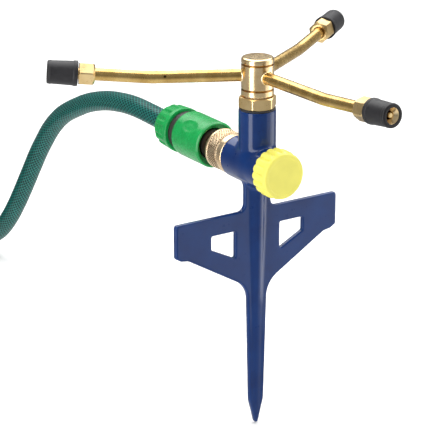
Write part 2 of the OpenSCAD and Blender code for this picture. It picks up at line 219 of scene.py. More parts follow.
def tube(name, path, r, mat, n=24, caps=True, v0=0.0, uv=True):
    """A round tube of radius r (mm) round a list of 3-D points (mm), with parallel-carried rings. UV: turn, metres along."""
    P = np.asarray(path, float)
    T = np.gradient(P, axis=0)
    T /= np.linalg.norm(T, axis=1)[:, None]
    s = np.cross(T[0], [0, 0, 1.0])
    if np.linalg.norm(s) < 1e-6:
        s = np.array([1.0, 0, 0])
    s /= np.linalg.norm(s)
    S = []
    for t in T:
        s = s - t * np.dot(s, t)
        s /= np.linalg.norm(s)
        S.append(s.copy())
    S = np.array(S)
    U = np.cross(T, S)
    L = np.concatenate([[0], np.cumsum(np.linalg.norm(np.diff(P, axis=0), axis=1))])
    rr = np.full(len(P), float(r)) if np.isscalar(r) else np.asarray(r, float)
    th = 2 * PI * np.arange(n) / n
    V = (
        P[:, None, :]
        + rr[:, None, None] * (np.cos(th)[None, :, None] * S[:, None, :] + np.sin(th)[None, :, None] * U[:, None, :])
    ).reshape(-1, 3)
    faces, uvs = [], []
    m = len(P)
    for i in range(m - 1):
        a, b = (v0 + L[i]) * MM, (v0 + L[i + 1]) * MM
        for j in range(n):
            k = (j + 1) % n
            faces.append((i * n + j, i * n + k, (i + 1) * n + k, (i + 1) * n + j))
            u0, u1 = j / n, (j + 1) / n
            uvs += [(u0, a), (u1, a), (u1, b), (u0, b)]
    if caps:
        faces.append(tuple(range(n - 1, -1, -1)))
        uvs += [(0, 0)] * n
        faces.append(tuple((m - 1) * n + j for j in range(n)))
        uvs += [(0, 0)] * n
    o = new_obj(name, V, faces, uvs if uv else None, mat)
    fix_normals(o)
    return o


def smooth(o):
    o.data.polygons.foreach_set("use_smooth", [True] * len(o.data.polygons))
    return o


def boolean(o, cutters, op="DIFFERENCE"):
    """Cuts with exact booleans and applies them."""
    for c in cutters:
        md = o.modifiers.new("cut", "BOOLEAN")
        md.operation = op
        md.solver = "EXACT"
        md.object = c
        dg = bpy.context.evaluated_depsgraph_get()
        me = bpy.data.meshes.new_from_object(o.evaluated_get(dg))
        old = o.data
        o.modifiers.clear()
        o.data = me
        me.name = old.name
        bpy.data.meshes.remove(old)
    for c in cutters:
        bpy.data.objects.remove(c)
    return o


def cyl(r, h, m, n=32, r2=None):
    """A plain cutter along local Z from 0 to h."""
    r2 = r if r2 is None else r2
    v = [(r * math.cos(2 * PI * j / n), r * math.sin(2 * PI * j / n), 0) for j in range(n)]
    v += [(r2 * math.cos(2 * PI * j / n), r2 * math.sin(2 * PI * j / n), h) for j in range(n)]
    f = [tuple(range(n - 1, -1, -1)), tuple(range(n, 2 * n))]
    f += [(j, (j + 1) % n, n + (j + 1) % n, n + j) for j in range(n)]
    o = new_obj("cutter", v, f)
    return put(o, m)


def T(x, y, z):
    return Matrix.Translation((x, y, z))


def R(deg, axis):
    return Matrix.Rotation(rad(deg), 4, axis)


# ---------------------------------------------------------------- node helpers
def material(name):
    m = bpy.data.materials.new(name)
    m.use_nodes = True
    nt = m.node_tree
    return m, nt, nt.nodes["Principled BSDF"]


def N(nt, kind, **kw):
    n = nt.nodes.new(kind)
    for k, v in kw.items():
        setattr(n, k, v)
    return n


def math_node(nt, op, a, b=None, c=None, clamp=False):
    n = nt.nodes.new("ShaderNodeMath")
    n.operation = op
    n.use_clamp = clamp
    for i, x in enumerate((a, b, c)):
        if x is None:
            continue
        if isinstance(x, (int, float)):
            n.inputs[i].default_value = x
        else:
            nt.links.new(x, n.inputs[i])
    return n.outputs[0]


def coords(nt, scale=(1, 1, 1), kind="Object"):
    tc = N(nt, "ShaderNodeTexCoord")
    mp = N(nt, "ShaderNodeMapping")
    mp.inputs["Scale"].default_value = scale
    nt.links.new(tc.outputs[kind], mp.inputs["Vector"])
    return mp.outputs[0]


def noise(nt, vec, scale, detail=4, rough=0.55):
    n = N(nt, "ShaderNodeTexNoise")
    n.inputs["Scale"].default_value = scale
    n.inputs["Detail"].default_value = detail
    n.inputs["Roughness"].default_value = rough
    nt.links.new(vec, n.inputs["Vector"])
    return n.outputs["Fac"]


def ramp(nt, fac, stops):
    r = N(nt, "ShaderNodeValToRGB")
    el = r.color_ramp.elements
    while len(el) > 2:
        el.remove(el[-1])
    for i, (p, c) in enumerate(stops):
        e = el[i] if i < 2 else el.new(p)
        e.position = p
        e.color = (*c, 1) if len(c) == 3 else c
    nt.links.new(fac, r.inputs["Fac"])
    return r.outputs["Color"]


def maprange(nt, v, a, b, c, d):
    n = N(nt, "ShaderNodeMapRange")
    n.inputs["From Min"].default_value = a
    n.inputs["From Max"].default_value = b
    n.inputs["To Min"].default_value = c
    n.inputs["To Max"].default_value = d
    nt.links.new(v, n.inputs["Value"])
    return n.outputs["Result"]


def bump(nt, height, strength, distance, normal=None):
    b = N(nt, "ShaderNodeBump")
    b.inputs["Strength"].default_value = strength
    b.inputs["Distance"].default_value = distance
    nt.links.new(height, b.inputs["Height"])
    if normal is not None:
        nt.links.new(normal, b.inputs["Normal"])
    return b.outputs["Normal"]


def mix_color(nt, fac, a, b, blend="MIX"):
    m = N(nt, "ShaderNodeMix", data_type="RGBA", blend_type=blend)
    if isinstance(fac, (int, float)):
        m.inputs[0].default_value = fac
    else:
        nt.links.new(fac, m.inputs[0])
    for x, i in ((a, 6), (b, 7)):
        if isinstance(x, tuple):
            m.inputs[i].default_value = (*x, 1)
        else:
            nt.links.new(x, m.inputs[i])
    return m.outputs[2]


def srgb(r, g, b):
    return tuple(((c / 255) / 12.92 if c / 255 <= 0.04045 else (((c / 255) + 0.055) / 1.055) ** 2.4) for c in (r, g, b))


# ---------------------------------------------------------------- materials
def brass(name, light, deep, rough=0.16, turned_axis=None, turned=0.0, mottle=0.15):
    """Polished brass: slow colour change, fine smudges in the gloss, and turning marks across an axis."""
    m, nt, p = material(name)
    v = coords(nt)
    big = noise(nt, v, 60, 3, 0.6)
    fine = noise(nt, v, 900, 3, 0.6)
    both = math_node(nt, "ADD", math_node(nt, "MULTIPLY", big, 1 - mottle), math_node(nt, "MULTIPLY", fine, mottle))
    col = ramp(nt, both, [(0.32, deep), (0.62, light)])
    nt.links.new(col, p.inputs["Base Color"])
    p.inputs["Metallic"].default_value = 1.0
    smudge = noise(nt, v, 220, 5, 0.65)
    nt.links.new(maprange(nt, smudge, 0.3, 0.75, rough * 0.85, rough * 1.25), p.inputs["Roughness"])
    nrm = bump(nt, noise(nt, v, 1500, 2, 0.5), 0.015, 0.0001)
    if turned and turned_axis is not None:
        w = N(nt, "ShaderNodeTexNoise")
        sc = [8.0, 8.0, 8.0]
        sc[turned_axis] = 5200.0
        w.inputs["Scale"].default_value = 1.0
        w.inputs["Detail"].default_value = 2
        nt.links.new(coords(nt, tuple(sc)), w.inputs["Vector"])
        nrm = bump(nt, w.outputs["Fac"], turned, 0.0001, nrm)
    nt.links.new(nrm, p.inputs["Normal"])
    return m


def plastic(name, color, rough=0.35, vary=0.06, grain=0.12, grain_scale=1500, subsurface=0.0, coat=0.0, flow=90):
    """Moulded plastic: faint flow marks in the colour and a fine spark-eroded grain."""
    m, nt, p = material(name)
    v = coords(nt)
    f = noise(nt, v, flow, 3, 0.5)
    dk = tuple(c * (1 - vary) for c in color)
    lt = tuple(min(1, c * (1 + vary) + 0.004) for c in color)
    nt.links.new(ramp(nt, f, [(0.3, dk), (0.7, lt)]), p.inputs["Base Color"])
    g = noise(nt, v, grain_scale, 2, 0.5)
    nt.links.new(maprange(nt, noise(nt, v, 300, 4, 0.6), 0.3, 0.7, rough * 0.85, rough * 1.2), p.inputs["Roughness"])
    nt.links.new(bump(nt, g, grain, 0.00015), p.inputs["Normal"])
    if subsurface:
        p.inputs["Subsurface Weight"].default_value = subsurface
        p.inputs["Subsurface Radius"].default_value = (0.004, 0.004, 0.0015)
        p.inputs["Subsurface Scale"].default_value = 1.0
    p.inputs["Coat Weight"].default_value = coat
    p.inputs["Coat Roughness"].default_value = 0.12
    return m


def powder_coat(name, color, dark):
    """Gloss powder coat over a die-casting: orange peel, slow waves, and a lighter colour on sharp edges, partly a
    thinner coat and partly a painted highlight.
    """
    m, nt, p = material(name)
    v = coords(nt)
    slow = noise(nt, v, 40, 3, 0.5)
    base = ramp(nt, slow, [(0.3, dark), (0.72, color)])
    geo = N(nt, "ShaderNodeNewGeometry")
    # lighter blue on sharp convex edges: partly a thinner coat, partly a painted edge highlight
    edge = ramp(nt, geo.outputs["Pointiness"], [(0.515, (0, 0, 0)), (0.60, (1, 1, 1))])
    thin_coat_and_highlight = tuple(min(1, c * 1.7 + 0.01) for c in color)
    col = mix_color(nt, math_node(nt, "MULTIPLY", edge, 0.45), base, thin_coat_and_highlight)
    nt.links.new(col, p.inputs["Base Color"])
    nt.links.new(maprange(nt, noise(nt, v, 160, 4, 0.6), 0.3, 0.7, 0.26, 0.40), p.inputs["Roughness"])
    p.inputs["Coat Weight"].default_value = 0.65
    p.inputs["Coat Roughness"].default_value = 0.08
    p.inputs["Specular IOR Level"].default_value = 0.1
    peel = noise(nt, v, 520, 2, 0.5)
    wave = noise(nt, v, 90, 2, 0.5)
    n1 = bump(nt, wave, 0.10, 0.0010)
    n2 = bump(nt, peel, 0.07, 0.0003, n1)
    nt.links.new(n2, p.inputs["Normal"])
    return m


def rubber(name, color=(0.022, 0.022, 0.025), rough=0.62, grain=0.35, scale=1100):
    m, nt, p = material(name)
    v = coords(nt)
    f = noise(nt, v, 260, 4, 0.6)
    nt.links.new(ramp(nt, f, [(0.3, tuple(c * 0.8 for c in color)), (0.75, tuple(c * 1.35 for c in color))]), p.inputs["Base Color"])
    nt.links.new(maprange(nt, f, 0.3, 0.7, rough * 0.9, min(1, rough * 1.15)), p.inputs["Roughness"])
    nt.links.new(bump(nt, noise(nt, v, scale, 3, 0.6), grain, 0.0002), p.inputs["Normal"])
    p.inputs["Sheen Weight"].default_value = 0.04
    p.inputs["Sheen Roughness"].default_value = 0.5
    p.inputs["Specular IOR Level"].default_value = 0.35
    return m


def hose_material(name):
    """Clear skin over a knitted braid on a teal core. UV: turn round the hose, metres along it."""
    m, nt, p = material(name)
    uv = N(nt, "ShaderNodeUVMap", uv_map="UVMap")
    sep = N(nt, "ShaderNodeSeparateXYZ")
    nt.links.new(uv.outputs[0], sep.inputs[0])
    u, w = sep.outputs[0], sep.outputs[1]
    turn = math_node(nt, "MULTIPLY", u, 17.0)
    run = math_node(nt, "MULTIPLY", w, 1 / 0.0046)

    def thread(sign, width):
        s = math_node(nt, "ADD", turn, math_node(nt, "MULTIPLY", run, sign))
        f = math_node(nt, "FRACT", s)
        d = math_node(nt, "ABSOLUTE", math_node(nt, "SUBTRACT", f, 0.5))
        return maprange(nt, d, width, width + 0.10, 1.0, 0.0)

    t1, t2 = thread(1.0, 0.075), thread(-1.0, 0.075)
    net = math_node(nt, "MAXIMUM", t1, t2, clamp=True)
    v = coords(nt)
    slow = noise(nt, v, 70, 3, 0.5)
    core = ramp(nt, slow, [(0.3, srgb(0, 32, 34)), (0.7, srgb(0, 50, 50))])
    cell = math_node(nt, "MULTIPLY", net, maprange(nt, noise(nt, v, 500, 3, 0.6), 0.35, 0.65, 0.55, 1.0))
    col = mix_color(nt, cell, core, srgb(38, 128, 118))
    nt.links.new(col, p.inputs["Base Color"])
    p.inputs["Roughness"].default_value = 0.42
    p.inputs["Specular IOR Level"].default_value = 0.15
    p.inputs["Coat Weight"].default_value = 0.22
    p.inputs["Coat Roughness"].default_value = 0.12
    b1 = bump(nt, net, 0.35, 0.0003)
    nt.links.new(b1, p.inputs["Normal"])
    cn = bump(nt, noise(nt, v, 180, 3, 0.5), 0.25, 0.0006)
    nt.links.new(cn, p.inputs["Coat Normal"])
    return m


def spring_steel(name):
    m, nt, p = material(name)
    v = coords(nt)
    nt.links.new(ramp(nt, noise(nt, v, 400, 3), [(0.3, (0.42, 0.42, 0.44)), (0.7, (0.62, 0.62, 0.64))]), p.inputs["Base Color"])
    p.inputs["Metallic"].default_value = 1.0
    nt.links.new(maprange(nt, noise(nt, v, 900, 2), 0.3, 0.7, 0.2, 0.34), p.inputs["Roughness"])
    return m


def webbing(name):
    """Woven tape: a plain weave from two sine waves."""
    m, nt, p = material(name)
    v = coords(nt)
    sep = N(nt, "ShaderNodeSeparateXYZ")
    nt.links.new(v, sep.inputs[0])
    a = math_node(nt, "SINE", math_node(nt, "MULTIPLY", math_node(nt, "ADD", sep.outputs[0], sep.outputs[2]), 7000.0))
    b = math_node(nt, "SINE", math_node(nt, "MULTIPLY", math_node(nt, "ADD", sep.outputs[1], sep.outputs[2]), 7000.0))
    w = math_node(nt, "MULTIPLY", a, b)
    h = maprange(nt, w, -1, 1, 0, 1)
    # the weave's low points darker and its high crossings lighter: painted shade in the weave
    nt.links.new(ramp(nt, h, [(0.0, (0.012, 0.012, 0.013)), (1.0, (0.05, 0.05, 0.055))]), p.inputs["Base Color"])
    p.inputs["Roughness"].default_value = 0.8
    p.inputs["Sheen Weight"].default_value = 0.4
    nt.links.new(bump(nt, h, 0.5, 0.0003), p.inputs["Normal"])
    return m


M_BLUE = powder_coat("blue_coat_look", srgb(0, 48, 108), srgb(0, 36, 90))
M_HUB = brass("pale_brass_look", srgb(250, 224, 176), srgb(232, 198, 144), 0.22, 2, 0.02)
M_GOLD = brass("golden_brass_look", srgb(220, 188, 120), srgb(178, 142, 76), 0.25)
M_HEX = brass("satin_brass_look", srgb(240, 212, 156), srgb(212, 178, 118), 0.30)
M_ROSE = brass("rose_brass_look", srgb(252, 228, 190), srgb(232, 196, 150), 0.27)
# dark brass for the two hub grooves: painted shade and painted dark reflection in the grooves
M_HUB_GROOVE_SHADE = brass("hub_groove_painted_shade_look", srgb(176, 128, 70), srgb(120, 80, 40), 0.3)
# dark brass for the knurl's valleys: painted shade
M_KNURL_SHADE = brass("knurl_valley_painted_shade_look", srgb(104, 64, 36), srgb(64, 36, 20), 0.45)
M_BLACK = rubber("black_rubber_look")
M_GRIP = rubber("grip_rubber_look", (0.011, 0.0105, 0.0125), 0.46, 0.30, 1300)
M_WHITE = plastic("white_plastic_look", (0.76, 0.75, 0.70), 0.42)
M_GREEN = plastic("green_plastic_look", srgb(0, 150, 70), 0.26, 0.10, 0.08, 1100, 0.05)
M_DARK = plastic("dark_plastic_look", srgb(34, 28, 27), 0.46, 0.12, 0.22, 1500)
M_LEMON = plastic("lemon_plastic_look", srgb(238, 230, 104), 0.34, 0.035, 0.12, 1500, 0.05)
M_HOSE = hose_material("hose_teal_look")
M_STEEL = spring_steel("spring_steel_look")
M_TIE = webbing("tie_fabric_look")

# ---------------------------------------------------------------- frames of the parts (mm)
TEE_Z, CROSS_BACK, CROSS_FRONT, CONN_Y = 216.0, 25.9, 19.8, 56.7
ARM_TURN, ARM_Z, ARM_R, BEND_AT, BEND_R, BEND, ARM_OUT = -87.8, 286.7, 4.7, 76.0, 110.0, 4.8, 37.0
F_IN = T(0, 0, TEE_Z) @ R(-90, "X")
F_OUT = T(0, -CROSS_FRONT - 1, TEE_Z) @ R(90, "X")
F_CONN = F_IN @ T(0, 0, CONN_Y)


def f_nozzle(i):
    b = rad(BEND)
    return (
        R(ARM_TURN + 120 * i, "Z")
        @ T(BEND_AT + BEND_R * math.sin(b), 0, ARM_Z + BEND_R * (1 - math.cos(b)))
        @ R(-BEND, "Y")
        @ T(ARM_OUT, 0, 0)
        @ R(90, "Y")
    )


# ---------------------------------------------------------------- the hose, wound for storage
HOSE_R, COIL_R, STEP = 8.5, 105.0, 17.2
DROP = [
    (105.7, 216), (124, 216), (150, 216.8), (180, 217), (205, 214.6), (230, 209.8), (257, 201.5), (278, 192.5),
    (300, 181.5), (316, 170.8), (331, 157.5), (343, 144), (355, 129.5), (370, 109), (386, 87), (402, 66), (420, 45.5),
    (440, 28), (464, 15.5), (495, 9.6), (530, 8.5), (565, 8.5), (600, 8.5),
]
COIL_OUT = COIL_R + STEP
CX, CY = -COIL_OUT, 600.0
LAYER = STEP
TAIL_IN, TAIL_DEG, TAIL_FROM = 74.0, 60.0, 450.0
COLLAR_R = 18.6
TOP_Z = 2 * LAYER + HOSE_R
LIFT_Z = LAYER + 2 * HOSE_R + COLLAR_R + 0.2
SLOTS = [
    (COIL_OUT, HOSE_R), (COIL_R, HOSE_R), (COIL_R - STEP, HOSE_R),
    (COIL_R - STEP, HOSE_R + LAYER), (COIL_R, HOSE_R + LAYER), (COIL_OUT, HOSE_R + LAYER), (COIL_R, TOP_Z),
]


def ease(t):
    return (1 - math.cos(PI * max(0.0, min(1.0, t)))) / 2


def slot_at(deg):
    """Radius and height of the winding at a cumulative angle."""
    r, z = SLOTS[0]
    for k in range(1, 7):
        start = 360 * (k - 1) + 220 + (6 - k) * 20
        e = ease((deg - start) / 40)
        r += (SLOTS[k][0] - SLOTS[k - 1][0]) * e
        z += (SLOTS[k][1] - SLOTS[k - 1][1]) * e
    return r, z


def catmull(pts, step):
    """A smooth line through points, at about the given spacing."""
    P = [Vector(p) for p in pts]
    P = [P[0] * 2 - P[1]] + P + [P[-1] * 2 - P[-2]]
    out = []
    for i in range(1, len(P) - 2):
        a, b, c, d = P[i - 1 : i + 3]
        n = max(2, int(round((c - b).length / step)))
        for k in range(n):
            t = k / n
            out.append(
                0.5 * ((2 * b) + (c - a) * t + (2 * a - 5 * b + 4 * c - d) * t * t + (3 * b - a - 3 * c + d) * t**3)
            )
    out.append(P[-2])
    return out


line = [Vector((p.x, p.y, p.z)) for p in catmull([(0, y, z) for y, z in DROP], 4.0)]
for s in range(1, int(2250 / 2.5) + 1):
    deg = s * 2.5
    r_, z_ = slot_at(deg)
    line.append(Vector((CX + r_ * math.cos(rad(deg)), CY + r_ * math.sin(rad(deg)), z_)))
for s in range(1, 25):
    t_ = s / 24
    ang = rad(TAIL_FROM + TAIL_DEG * t_)
    r_ = COIL_R + (TAIL_IN - COIL_R) * ease(t_)
    line.append(Vector((CX + r_ * math.cos(ang), CY + r_ * math.sin(ang), TOP_Z + (LIFT_Z - TOP_Z) * ease(t_))))
TAIL_END = line[-1].copy()
ta = rad(TAIL_FROM + TAIL_DEG)
TAIL_DIR = Vector((-math.sin(ta), math.cos(ta), 0))
for s in (5, 10, 15, 20, 25, 30):
    line.append(TAIL_END + TAIL_DIR * s)
F_FAR = (
    Matrix.Translation(TAIL_END + TAIL_DIR * (30 + 49.2)) @ R(TAIL_FROM + TAIL_DEG, "Z") @ R(90, "X")
)
hose = smooth(tube("hose", line, HOSE_R - 0.02, M_HOSE, n=28))
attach(hose, "spike")
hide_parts("supply_hose", "hose_coil", "hose_tail")


# the two straps round the coil
def strap(name, deg, wide=12.0):
    """A tape round the winding's section, from a rounded outline, 1.2 mm thick."""
    ri, ro = 77.6, COIL_OUT + 10
    # the outline (radius, height) of the section it holds, as two tube-hugging lines
    outer = rounded(
        [(ri, 0.05, 3), (ro, 0.05, 6), (ro, 30.5, 7), (COIL_R + 9.5, 52.2, 7), (COIL_R - 9.5, 52.2, 7), (ri, 30.5, 7)],
        6,
        True,
    )
    inner = rounded(
        [(ri + 1.3, 1.2, 2), (ro - 1.3, 1.2, 5), (ro - 1.3, 30.0, 6), (COIL_R + 8.9, 50.9, 6), (COIL_R - 8.9, 50.9, 6), (ri + 1.3, 30.0, 6)],
        6,
        True,
    )
    n = len(outer)
    verts, faces = [], []
    cols = 7
    for c in range(cols):
        y = -wide / 2 + wide * c / (cols - 1)
        edge = 0.15 if c in (0, cols - 1) else 0.0
        for loop, sgn in ((outer, -1), (inner, 1)):
            for k, (r, z) in enumerate(loop):
                verts.append((r + 0 * edge, y, z + 0 * sgn))
    for c in range(cols - 1):
        a, b = c * 2 * n, (c + 1) * 2 * n
        for k in range(n):
            q = (k + 1) % n
            faces.append((a + k, a + q, b + q, b + k))
            faces.append((a + n + k, b + n + k, b + n + q, a + n + q))
    for c, flip in ((0, False), (cols - 1, True)):
        a = c * 2 * n
        for k in range(n):
            q = (k + 1) % n
            f = (a + k, a + n + k, a + n + q, a + q)
            faces.append(f if not flip else f[::-1])
    o = new_obj(name, verts, faces, None, M_TIE)
    fix_normals(o)
    put(o, T(CX, CY, 0) @ R(deg, "Z"))
    return shade(o, 40)


tie_a, tie_b = strap("coil_tie_a", 300), strap("coil_tie_b", 395)
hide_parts("coil_ties")
for t in (tie_a, tie_b):
    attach(t, "spike")


# ---------------------------------------------------------------- screw threads
def thread(name, root, crest, z0, z1, pitch, mat, m, n=72, ends=0.5, right=True):
    """The skin of a screw thread: 55 degree flanks, rounded, running out at both ends. root and crest may be either way round."""
    rows = max(8, int((z1 - z0) / (pitch / 8)))
    verts, faces = [], []
    for i in range(rows + 1):
        z = z0 + (z1 - z0) * i / rows
        for j in range(n):
            th = 2 * PI * j / n
            ph = ((z - z0) / pitch - (j / n if right else -j / n)) % 1.0
            tri = 1 - abs(2 * ph - 1)
            w = min(1.0, max(0.0, (tri - 0.12) / 0.76))
            w = w * w * (3 - 2 * w) * 0.4 + w * 0.6
            fade = min(1.0, (z - z0) / (pitch * ends), (z1 - z) / (pitch * ends))
            r = root + (crest - root) * w * max(0.0, fade)
            verts.append((r * math.cos(th), r * math.sin(th), z))
    for i in range(rows):
        for j in range(n):
            k = (j + 1) % n
            faces.append((i * n + j, i * n + k, (i + 1) * n + k, (i + 1) * n + j))
    o = new_obj(name, verts, faces, None, mat)
    fix_normals(o)
    if crest < root:  # an inside thread faces the axis
        o.data.flip_normals()
    put(o, m)
    return smooth(o)


# ---------------------------------------------------------------- the casting
def poly_sdf(X, Z, poly):
    P = np.array(poly, np.float64)
    d = np.full(X.shape, 1e9)
    s = np.ones(X.shape)
    n = len(P)
    for i in range(n):
        a, b = P[i], P[(i - 1) % n]
        ex, ez = b[0] - a[0], b[1] - a[1]
        wx, wz = X - a[0], Z - a[1]
        t = np.clip((wx * ex + wz * ez) / max(1e-9, ex * ex + ez * ez), 0, 1)
        bx, bz = wx - ex * t, wz - ez * t
        d = np.minimum(d, bx * bx + bz * bz)
        c1, c2, c3 = Z >= a[1], Z < b[1], ex * wz > ez * wx
        s = np.where((c1 & c2 & c3) | (~c1 & ~c2 & ~c3), -s, s)
    return s * np.sqrt(d)


def smin(a, b, k):
    h = np.maximum(k - np.abs(a - b), 0) / k
    return np.minimum(a, b) - h * h * k * 0.25


def smax(a, b, k):
    return -smin(-a, -b, k)


def capped(rr, along, r, a, b, e=0.8):
    """A cylinder with rounded ends: rr is the distance from its axis, along the place on it."""
    dr = rr - (r - e)
    dz = np.maximum(a - along, along - b) + e
    return np.minimum(np.maximum(dr, dz), 0) + np.sqrt(np.maximum(dr, 0) ** 2 + np.maximum(dz, 0) ** 2) - e


HALF_W, WING_Z, NECK_W, PLATE_T = 74.5, 180.6, 12.0, 4.2
BLADE = [
    (1, 0, 0.6), (6.5, 20, 18), (9.1, 118, 20), (63, 150, 8), (69.5, 151, 3), (HALF_W, 154, 1.5),
    (HALF_W, WING_Z, 2.5), (NECK_W, WING_Z, 5.5), (NECK_W, 206, 0), (-NECK_W, 206, 0), (-NECK_W, WING_Z, 5.5),
    (-HALF_W, WING_Z, 2.5), (-HALF_W, 154, 1.5), (-69.5, 151, 3), (-63, 150, 8), (-9.1, 118, 20), (-6.5, 20, 18), (-1, 0, 0.6),
]
WINDOW = [(20.7, 143.8, 1.2), (42.3, 154.7, 1.2), (42.3, 165.9, 1.2), (20.7, 165.9, 1.2)]
RIB = [(0, 0.9), (6, 1.6), (15, 2.3), (50, 2.7), (97, 3.2), (130, 3.9), (169, 4.9), (215, 5.4)]


def casting():
    import openvdb

    h = 0.6
    lo = np.array([-76.2, -21.6, -1.8])
    hi = np.array([76.2, 27.6, 262.2])
    n = np.round((hi - lo) / h).astype(int) + 1
    xs = (lo[0] + h * np.arange(n[0])).astype(np.float32)
    ys = (lo[1] + h * np.arange(n[1])).astype(np.float32)
    zs = (lo[2] + h * np.arange(n[2])).astype(np.float32)
    X2, Z2 = np.meshgrid(xs, zs, indexing="ij")
    blade = poly_sdf(X2, Z2, rounded(BLADE, 8, True))
    win = poly_sdf(np.abs(X2), Z2, rounded(WINDOW, 6, True))
    flat = smax(blade, -win, 0.8).astype(np.float32)
    out = np.empty(tuple(n), np.float32)
    e = 1.0
    for k0 in range(0, n[2], 24):
        k1 = min(n[2], k0 + 24)
        X = xs[:, None, None]
        Y = ys[None, :, None]
        Z = zs[None, None, k0:k1]
        rho = np.sqrt(X * X + Y * Y) + 0 * Z
        rxz = np.sqrt(X * X + (Z - TEE_Z) ** 2) + 0 * Y
        half = PLATE_T / 2
        d2 = flat[:, None, k0:k1] + e + 0 * Y
        dy = np.abs(Y) - half + e + 0 * X + 0 * Z
        plate = np.minimum(np.maximum(d2, dy), 0) + np.sqrt(np.maximum(d2, 0) ** 2 + np.maximum(dy, 0) ** 2) - e
        rr = np.interp(zs[k0:k1], [p[0] for p in RIB], [p[1] for p in RIB]).astype(np.float32)[None, None, :]
        rib = np.maximum(rho - rr, np.maximum(2.5 - Z, Z - 214))
        low = smin(plate, rib, 2.6 + 1.6 * np.clip((Z - 60) / 100, 0, 1))
        upright = capped(rho, Z + 0 * X + 0 * Y, 14.4, 200, 260.2)
        level = capped(rxz, Y + 0 * X + 0 * Z, 16.8, -CROSS_FRONT, CROSS_BACK)
        upright = np.maximum(upright, 208 - Z)
        tee = smin(upright, level, 3.2)
        d = smin(tee, low, 4.0)
        d = np.maximum(d, -capped(rho, Z + 0 * X + 0 * Y, 10.45, 243.8, 270, 0.3))
        d = np.maximum(d, -np.maximum(rho - 9.2, np.abs(Z - 230) - 15))
        d = np.maximum(d, -np.maximum(rxz - 13.22, 8 - Y))
        d = np.maximum(d, -np.maximum(rxz - 9.0, Y - 9))
        out[:, :, k0:k1] = d
    band = 4 * h
    grid = openvdb.FloatGrid(band)
    grid.copyFromArray(np.clip(out, -band, band), tolerance=0.0)
    pts, quads = grid.convertToQuads(isovalue=0.0)
    pts = np.asarray(pts, float) * h + lo
    quads = np.asarray(quads)
    o = new_obj("spike_casting", pts, [tuple(int(i) for i in q) for q in quads], None, M_BLUE)
    fix_normals(o)
    md = o.modifiers.new("relax", "SMOOTH")
    md.factor, md.iterations = 0.5, 3
    return shade(o, 50)


body = casting()
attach(body, "spike")
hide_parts("spike_body")

# the outlet's male thread, cast with the body, under the cap
spout = lathe(
    "outlet_spout",
    rounded([(9.0, -2), (9.0, 12.4, 0.5), (12.0, 12.4, 0.6), (12.25, 11.6), (12.25, -2)], 3),
    M_BLUE, 96, False, T(0, -CROSS_FRONT - 0.2, TEE_Z) @ R(90, "X"),
)
spout_thread = thread("outlet_thread", 12.2, 13.18, 0.6, 11.9, 1.814, M_BLUE, T(0, -CROSS_FRONT - 0.2, TEE_Z) @ R(90, "X"))
for o in (spout, spout_thread):
    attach(o, "spike")


# ---------------------------------------------------------------- hexagons
def hexagon(name, af, z0, z1, rin, rc0, rc1, mat, m, turn=0.0, corner=0.35, n=180, tail=None, head=None, slope=30):
    """A hexagon of stock turned at both ends: rc0 and rc1 are where the chamfers begin. head and tail are (r, z) lines that go on from it."""
    tn = math.tan(rad(slope))
    rmax = af / 2 / math.cos(rad(30)) - corner

    def side(th):
        a = (math.degrees(th) + 30) % 60 - 30
        return min(af / 2 / math.cos(rad(a)), rmax)

    def ring(which):
        def f(th):
            s = side(th)
            if which == "b0":
                return min(rc0, s - 0.12), z0
            if which == "b1":
                return s, z0 + max(0.12, (s - rc0) * tn)
            if which == "t1":
                return s, z1 - max(0.12, (s - rc1) * tn)
            return min(rc1, s - 0.12), z1

        return f

    pts = list(tail or [(rin, z0)]) + [ring("b0"), ring("b1"), ring("t1"), ring("t0")] + list(head or [(rin, z1)])
    verts, faces, rings = [], [], []
    for p in pts:
        ids = []
        if not callable(p) and p[0] < 1e-6:
            ids = [len(verts)]
            verts.append((0, 0, p[1]))
        else:
            for j in range(n):
                th = 2 * PI * j / n
                r, z = p(th) if callable(p) else p[:2]
                ids.append(len(verts))
                verts.append((r * math.cos(th + rad(turn)), r * math.sin(th + rad(turn)), z))
        rings.append(ids)
    for A, B in zip(rings, rings[1:]):
        for j in range(n):
            k = (j + 1) % n
            if len(A) == 1:
                faces.append((A[0], B[k], B[j]))
            elif len(B) == 1:
                faces.append((A[j], A[k], B[0]))
            else:
                faces.append((A[j], A[k], B[k], B[j]))
    o = new_obj(name, verts, faces, None, mat)
    fix_normals(o)
    bv = o.modifiers.new("edge", "BEVEL")
    bv.width, bv.segments, bv.limit_method, bv.angle_limit = 0.00018, 2, "ANGLE", rad(24)
    bv.harden_normals = False
    put(o, m)
    return shade(o, 40)


# ---------------------------------------------------------------- bush, gasket
BUSH_Z, HEX_H = 261.8, 8.8
I4 = Matrix.Identity(4)
bush = hexagon(
    "bearing_bush_hex", 26.0, BUSH_Z, BUSH_Z + HEX_H, 6.05, 12.9, 12.9, M_HEX, I4, turn=42 - 30,
    tail=[(6.05, 245.0), (6.4, 244.5), (9.9, 244.5), (10.3, 245.1), (10.3, BUSH_Z - 0.02)],
    head=[(6.5, BUSH_Z + HEX_H), (6.05, BUSH_Z + HEX_H - 0.45), (6.05, 245.0)], slope=28,
)
gasket = lathe(
    "bush_gasket_ring",
    rounded([(10.6, 260.22, 0.2), (14.05, 260.22, 0.55), (14.05, 261.78, 0.55), (10.6, 261.78, 0.2)], 4, True),
    M_BLACK, 96, True,
)
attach(bush, "spike")
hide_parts("bearing_bush")
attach(gasket, "spike")
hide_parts("bush_gasket")

# ---------------------------------------------------------------- rotor
HUB_Z, HUB_H, HUB_R = 271.6, 29.3, 12.5
HUB_TOP = HUB_Z + HUB_H


def groove(z, r, depth=0.55, half=0.75):
    return [(r, z - half - 0.12, 0.15), (r - depth, z, 0.22), (r, z + half + 0.12, 0.15)]


